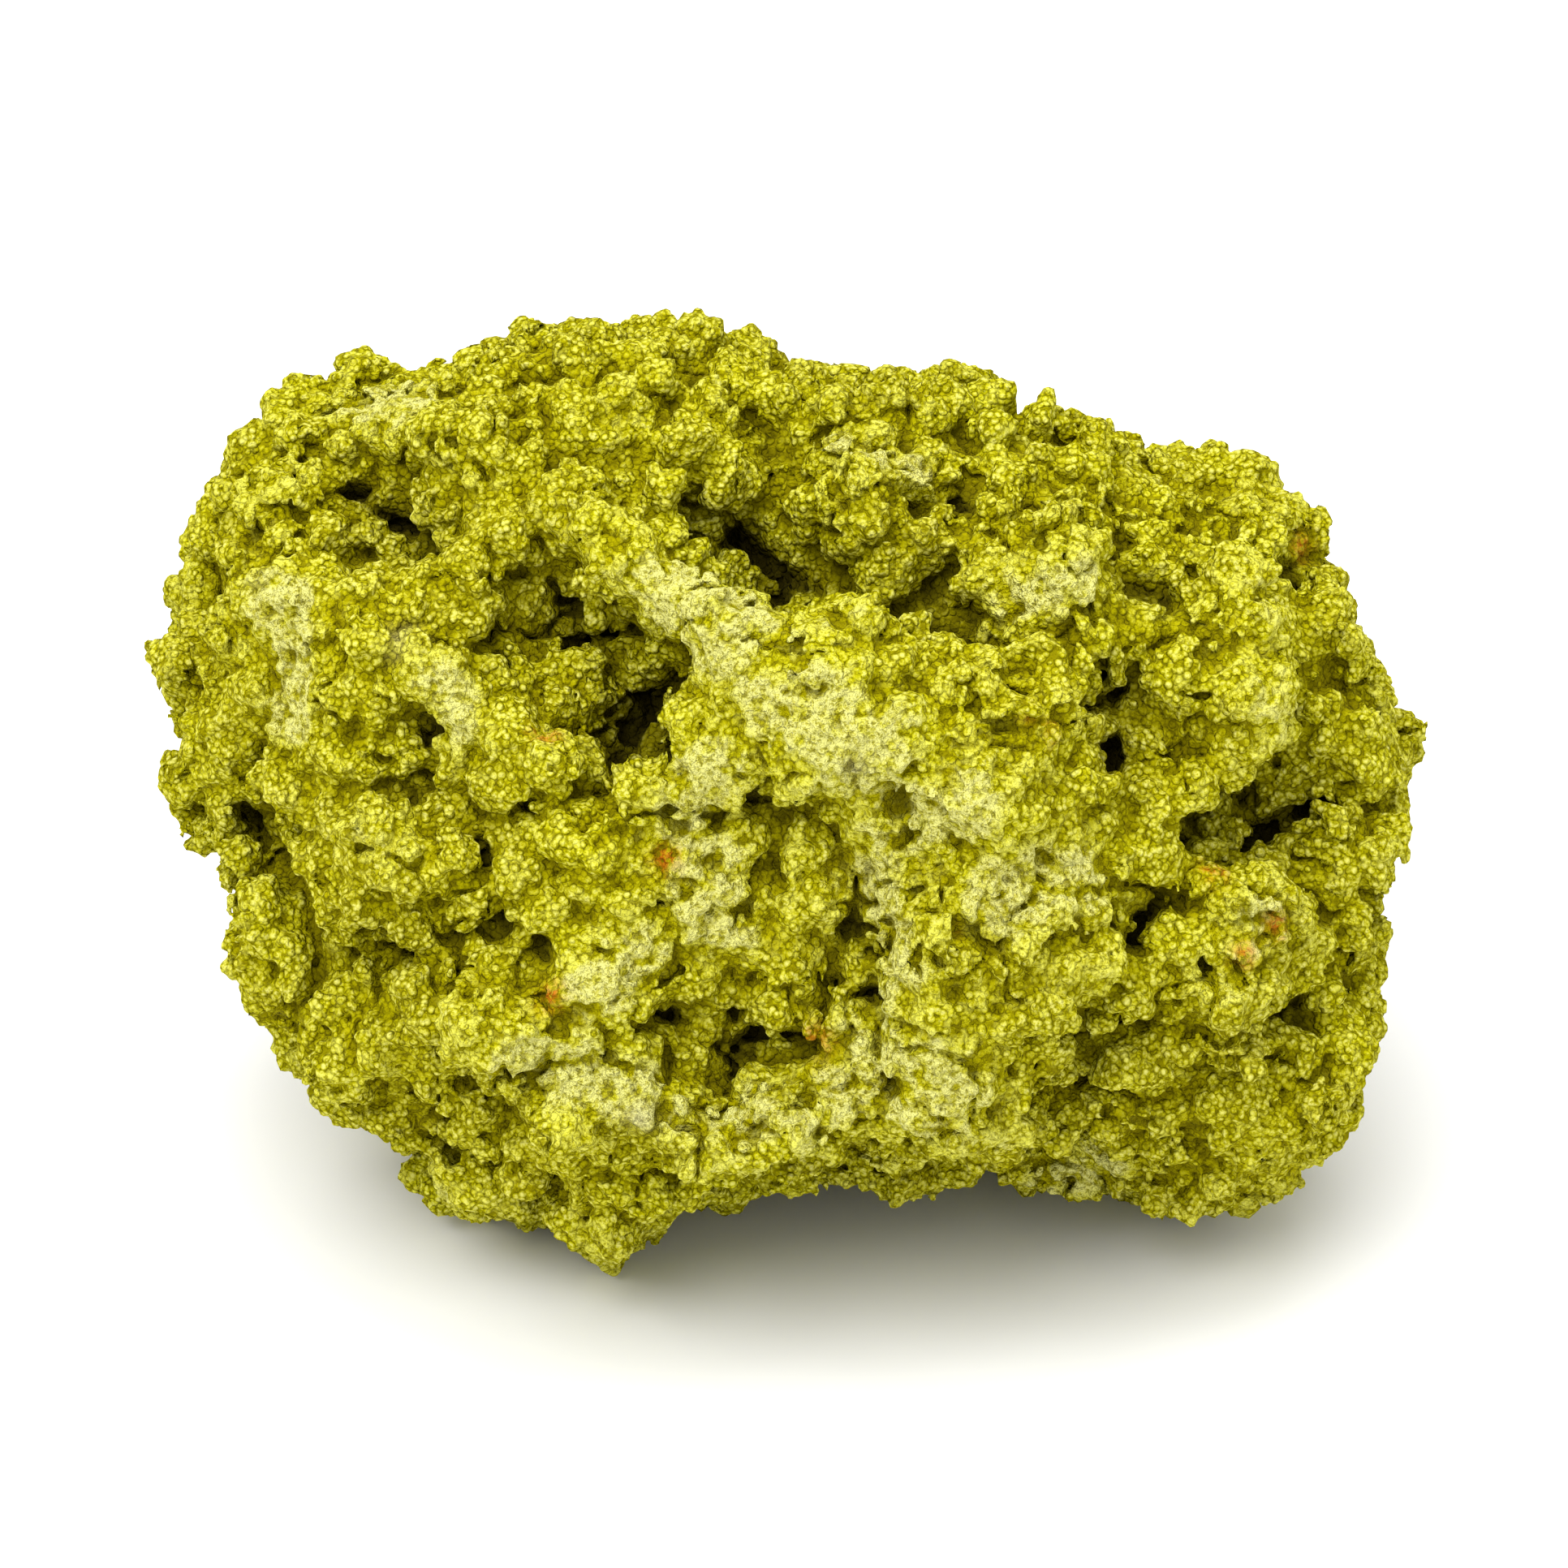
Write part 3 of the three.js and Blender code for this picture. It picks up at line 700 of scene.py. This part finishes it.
class Tree:
    """A material's nodes, made and joined in one call each."""

    def __init__(self, material):
        material.use_nodes = True
        self.tree = material.node_tree
        self.nodes, self.links = self.tree.nodes, self.tree.links
        self.shader = self.nodes["Principled BSDF"]

    def node(self, kind, inputs=None, **settings):
        made = self.nodes.new(kind)
        for name, value in settings.items():
            setattr(made, name, value)
        for name, value in (inputs or {}).items():
            self.feed(made.inputs[name], value)
        return made

    def feed(self, socket, value):
        if isinstance(value, bpy.types.NodeSocket):
            self.links.new(value, socket)
        else:
            socket.default_value = value

    def attribute(self, name):
        return self.node("ShaderNodeAttribute", attribute_name=name).outputs["Fac"]

    def math(self, operation, *values, clamp=False):
        made = self.node("ShaderNodeMath", operation=operation, use_clamp=clamp)
        for socket, value in zip(made.inputs, values):
            self.feed(socket, value)
        return made.outputs[0]

    def ramp(self, value, low, high, to_low=0.0, to_high=1.0):
        made = self.node("ShaderNodeMapRange", interpolation_type="SMOOTHSTEP")
        for name, v in zip(("Value", "From Min", "From Max", "To Min", "To Max"),
                           (value, low, high, to_low, to_high)):
            self.feed(made.inputs[name], v)
        return made.outputs[0]

    def mix(self, share, a, b):
        made = self.node("ShaderNodeMix", data_type="RGBA")
        self.feed(made.inputs[0], share)
        self.feed(made.inputs[6], a)
        self.feed(made.inputs[7], b)
        return made.outputs[2]

    def noise(self, place, size_mm, detail, roughness=0.55):
        return self.node("ShaderNodeTexNoise", {
            "Vector": place, "Scale": 1 / (size_mm * MM), "Detail": detail, "Roughness": roughness,
        }).outputs["Fac"]

    def cells(self, place, size_mm):
        return self.node("ShaderNodeTexVoronoi", {"Vector": place, "Scale": 1 / (size_mm * MM)})

    def bump(self, height_mm):
        height = self.math("MULTIPLY", height_mm, MM)
        return self.node("ShaderNodeBump", {"Height": height, "Distance": 1.0}).outputs[0]


def grain_domes(tree, place):
    """The height of each set's domes, and a number from 0 to 1 for each grain of the first set."""
    grains = [tree.cells(place, size) for size in GRAIN_CELLS]
    domes = []
    for grain, size in zip(grains, GRAIN_CELLS):
        squared = tree.math("MULTIPLY", grain.outputs["Distance"], grain.outputs["Distance"])
        dome = tree.math("SQRT", tree.math("MAXIMUM", tree.math("SUBTRACT", DOME_REACH, squared), 0.0))
        domes.append(tree.math("MULTIPLY", dome, size))
    number = tree.node("ShaderNodeSeparateColor", {"Color": grains[0].outputs["Color"]}).outputs[0]
    return domes, number


def layered(tree, colour, layers):
    """colour with others laid over it, each by a number that rises, its share and its shade."""
    for number, low, high, most, shade in layers:
        colour = tree.mix(tree.ramp(number, low, high, 0.0, most), colour, shade)
    return colour


def clay_material():
    material = bpy.data.materials.new("nontronite clay")
    tree = Tree(material)
    place = tree.node("ShaderNodeTexCoord").outputs["Object"]
    worn, sunk = tree.attribute("worn"), tree.attribute("sunk")
    shelter, deep = tree.attribute("shelter"), tree.attribute("deep")
    rust, grey, crevice = tree.attribute("rust"), tree.attribute("grey"), tree.attribute("crevice")
    loose_share = tree.attribute("loose")

    domes, number = grain_domes(tree, place)
    dome = tree.math("MAXIMUM", *domes)
    flake = tree.noise(place, FLAKE_SIZE, 2.0, 0.75)
    fine = tree.noise(place, GRIT_SIZE, 0.0)
    torn = tree.noise(place, TORN_SIZE, 1.0, 0.6)
    patch, broad = tree.noise(place, PATCH_SIZE, 1.0), tree.noise(place, BROAD_SIZE, 0.0)

    # how far each place is crust rather than grains, with a torn edge
    crust = tree.math("ADD", worn, tree.ramp(torn, 0.36, 0.64, -0.5, 0.4))
    crust = tree.math("ADD", crust, tree.ramp(shelter, 0.3, 0.6, 0.1, -0.3))
    crust = tree.ramp(crust, 0.15, 1.0)

    # the grains: fresh in the open, duller in patches, darker in shelter (duller clay and painted shade),
    # paler at their tips (worn and a painted highlight), with painted shade between them
    colour = tree.mix(tree.ramp(shelter, 0.42, 0.62), FRESH, DULL_AND_SHADED)
    colour = layered(tree, colour, [
        (patch, 0.4, 0.7, 0.5, OLIVE),
        (broad, 0.35, 0.65, 0.3, DULL_AND_SHADED),
        (loose_share, 0.1, 0.8, 0.6, OLIVE),
    ])
    colour = tree.mix(tree.math("MULTIPLY", number, GRAIN_SPREAD), colour, DULL_AND_SHADED)
    # the grains' tops paler, partly worn pale and partly a painted highlight
    tip_wear_and_highlight = tree.math("MULTIPLY", tree.ramp(dome, 0.24, 0.42, 0.0, 0.7), tree.ramp(flake, 0.4, 0.6, 0.1, 1.0))
    colour = tree.mix(tree.math("MULTIPLY", tip_wear_and_highlight, tree.ramp(shelter, 0.58, 0.38)), colour, POWDER)
    # painted shade between the grains, at the edges of their domes, and in the low places of the flakes
    colour = layered(tree, colour, [
        (dome, 0.35, 0.13, 0.75, PAINTED_SHADE),
        (flake, 0.48, 0.36, 0.45, PAINTED_SHADE),
    ])

    # the crust over them, in flakes, with painted shade in the low places between the flakes
    plate = tree.mix(tree.ramp(worn, 0.5, 1.0), PALE, POWDER)
    plate = layered(tree, plate, [
        (flake, 0.5, 0.42, 0.65, DULL_AND_SHADED),
        (flake, 0.4, 0.33, 0.65, PAINTED_SHADE),
    ])
    colour = tree.mix(tree.math("MULTIPLY", crust, CRUST_COVER), colour, plate)

    # painted shade: darker where clay lies all around, and painted black shade down in the gaps and
    # crevices
    colour = layered(tree, colour, [
        (shelter, 0.53, 0.72, 0.6, PAINTED_SHADE),
        (deep, 0.52, 0.72, 0.7, PAINTED_SHADE),
        (sunk, 2.0, 4.6, 0.6, PAINTED_SHADE),
    ])
    dark = tree.math("MULTIPLY", crevice, tree.ramp(sunk, 2.4, 4.0))
    dark = tree.math("MAXIMUM", dark, tree.ramp(deep, 0.64, 0.82))
    dark = tree.math("MAXIMUM", dark, tree.ramp(sunk, 3.6, 5.2, 0.0, 0.9))
    colour = tree.mix(dark, colour, PAINTED_BLACK_SHADE)

    # the stains
    stained = tree.math("MULTIPLY", rust, tree.ramp(torn, 0.3, 0.5, 0.3, 1.6), clamp=True)
    stained = tree.math("MULTIPLY", stained, tree.ramp(flake, 0.38, 0.55, 0.15, 1.0))
    colour = tree.mix(stained, colour, RUST)
    colour = tree.mix(tree.math("MULTIPLY", grey, GREY_COVER), colour, GREY)
    tree.feed(tree.shader.inputs["Base Color"], colour)
    tree.shader.inputs["Roughness"].default_value = ROUGHNESS
    tree.shader.inputs["Specular IOR Level"].default_value = SHINE

    # the relief in millimetres: grains, less of them under the crust, and more of its flakes
    height = tree.math("MULTIPLY", domes[0], tree.math("MULTIPLY_ADD", worn, -0.4, 1.0))
    ruffled = tree.math("MULTIPLY", flake, tree.math("MULTIPLY_ADD", worn, 0.7, 0.15))
    height = tree.math("ADD", height, ruffled)
    height = tree.math("MULTIPLY_ADD", fine, GRIT_HEIGHT, height)
    tree.feed(tree.shader.inputs["Normal"], tree.bump(height))
    return material


clay_look = clay_material()

# ---------------------------------------------------------------- the pieces

SIDES = {  # each piece's direction from the middle, and the share of its triangles that it keeps
    "skin_front_left": ((-0.62, -1, 0.28), 0.72), "skin_front_middle": ((0, -1.05, 0.3), 0.72),
    "skin_front_right": ((0.62, -1, 0.28), 0.72), "skin_front_low": ((0, -1, -0.55), 0.68),
    "skin_back": ((0, 1, 0), 0.24), "skin_left": ((-1, 0.35, 0), 0.24), "skin_right": ((1, 0.35, 0), 0.24),
    "skin_top": ((0, 0.1, 1), 0.34), "skin_base": ((0, 0.1, -1), 0.17),
}


def split_by_side(vertices, quads):
    """The skin in pieces by the side that each quad lies on, thinned out except along their edges."""
    low, high = np.array(cad_box[0]) / MM, np.array(cad_box[1]) / MM
    arm = (vertices[quads].mean(1) - (low + high) / 2) / ((high - low) / 2)
    ways = np.array([way for way, _ in SIDES.values()])
    side = np.argmax(arm @ (ways / np.linalg.norm(ways, axis=1)[:, None]).T, axis=1)
    uses = np.zeros(len(vertices), np.int32)
    split = {}
    for number, name in enumerate(SIDES):
        chosen = quads[side == number]
        used, local = np.unique(chosen, return_inverse=True)
        uses[used] += 1
        split[name] = (used, local.reshape(-1, 4).astype(np.int32))
    pieces = []
    for name, (used, local) in split.items():
        mesh = bpy.data.meshes.new(name)
        mesh.vertices.add(len(used))
        mesh.vertices.foreach_set("co", vertices[used].astype(np.float32).ravel())
        mesh.loops.add(local.size)
        mesh.loops.foreach_set("vertex_index", local.ravel())
        mesh.polygons.add(len(local))
        mesh.polygons.foreach_set("loop_start", np.arange(0, local.size, 4, dtype=np.int32))
        mesh.update(calc_edges=True)
        piece = bpy.data.objects.new(name, mesh)
        bpy.context.scene.collection.objects.link(piece)
        inner = piece.vertex_groups.new(name="inner")
        inner.add(np.flatnonzero(uses[used] == 1).tolist(), 1.0, "REPLACE")
        thin = piece.modifiers.new("thin", "DECIMATE")
        thin.ratio = SIDES[name][1]
        thin.vertex_group = "inner"
        thin.vertex_group_factor = 0.0
        pieces.append(piece)
    return pieces


def finish_piece(piece, mesh):
    """Gives a piece its thinned mesh in metres, its normals, its attributes and its place in the part."""
    places = np.empty(len(mesh.vertices) * 3, np.float32)
    mesh.vertices.foreach_get("co", places)
    places = places.reshape(-1, 3)
    normals = slope(skin, places)
    worn = wear.at(places)
    own = {
        "worn": worn * (0.6 + 0.4 * smoothstep(-0.6, 0.0, rubbed_level(places, worn))),
        "sunk": -rough.at(places),
        "crevice": smoothstep(0.5, -0.9, crevices.at(places)),
        "shelter": shelter.at(places),
        "deep": wide_shelter.at(places),
        "loose": loose.at(places),
        "rust": rust.at(places),
        "grey": grey.at(places),
    }
    for key, values in own.items():
        layer = mesh.attributes.new(key, "FLOAT", "POINT")
        layer.data.foreach_set("value", values.astype(np.float32))
    mesh.vertices.foreach_set("co", (places * MM).ravel())
    mesh.materials.append(clay_look)
    mesh.update()
    mesh.shade_smooth()
    mesh.normals_split_custom_set_from_vertices(normals)
    piece.modifiers.clear()
    piece.vertex_groups.clear()
    piece.data = mesh
    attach(piece, "root")
    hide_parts(NODE)


rust = spot_grid([(radius, (across, up)) for kind, across, up, radius in STAINS if kind == "rust"])
grey = spot_grid([(radius, (across, up)) for kind, across, up, radius in STAINS if kind == "grey"])
vertices, quads = skin_mesh()
vertices, quads = largest_piece(vertices, quads)
pieces = split_by_side(vertices, quads)
evaluated = bpy.context.evaluated_depsgraph_get()
thinned = [bpy.data.meshes.new_from_object(piece.evaluated_get(evaluated)) for piece in pieces]
for piece, mesh in zip(pieces, thinned):
    mesh.name = piece.name
    finish_piece(piece, mesh)

# ---------------------------------------------------------------- floor, light and camera


def floor():
    mesh = bpy.data.meshes.new("floor")
    reach = FLOOR_REACH
    mesh.from_pydata([(-reach, -reach, 0), (reach, -reach, 0), (reach, reach, 0), (-reach, reach, 0)], [],
                     [(0, 1, 2, 3)])
    material = bpy.data.materials.new("pale floor")
    material.use_nodes = True
    shader = material.node_tree.nodes["Principled BSDF"]
    shader.inputs["Base Color"].default_value = (FLOOR_TONE, FLOOR_TONE, FLOOR_TONE, 1)
    shader.inputs["Roughness"].default_value = 0.9
    mesh.materials.append(material)
    piece = bpy.data.objects.new("floor", mesh)
    bpy.context.scene.collection.objects.link(piece)


def area_light(name, place, power):
    light = bpy.data.lights.new(name, "AREA")
    light.shape = "DISK"
    light.size = LIGHT_SIZE
    light.energy = power
    lamp = bpy.data.objects.new(name, light)
    lamp.location = place
    lamp.rotation_euler = (Vector(LIGHT_AIM) - Vector(place)).to_track_quat("-Z", "Y").to_euler()
    bpy.context.scene.collection.objects.link(lamp)


def lights():
    world = bpy.data.worlds.new("studio")
    world.use_nodes = True
    world.node_tree.nodes["Background"].inputs["Color"].default_value = (1, 1, 1, 1)
    world.node_tree.nodes["Background"].inputs["Strength"].default_value = WORLD_STRENGTH
    bpy.context.scene.world = world
    area_light("key", KEY_PLACE, KEY_POWER)
    area_light("top", TOP_PLACE, TOP_POWER)


def camera():
    data = bpy.data.cameras.new("camera")
    data.lens = CAMERA_LENS
    eye = bpy.data.objects.new("camera", data)
    target = FACE_MIDDLE * MM
    eye.location = target + OUT * CAMERA_DISTANCE * MM
    eye.rotation_euler = Vector(-OUT).to_track_quat("-Z", "Y").to_euler()
    bpy.context.scene.collection.objects.link(eye)
    bpy.context.scene.camera = eye


floor()
lights()
camera()
bpy.context.scene.view_settings.view_transform = "Standard"
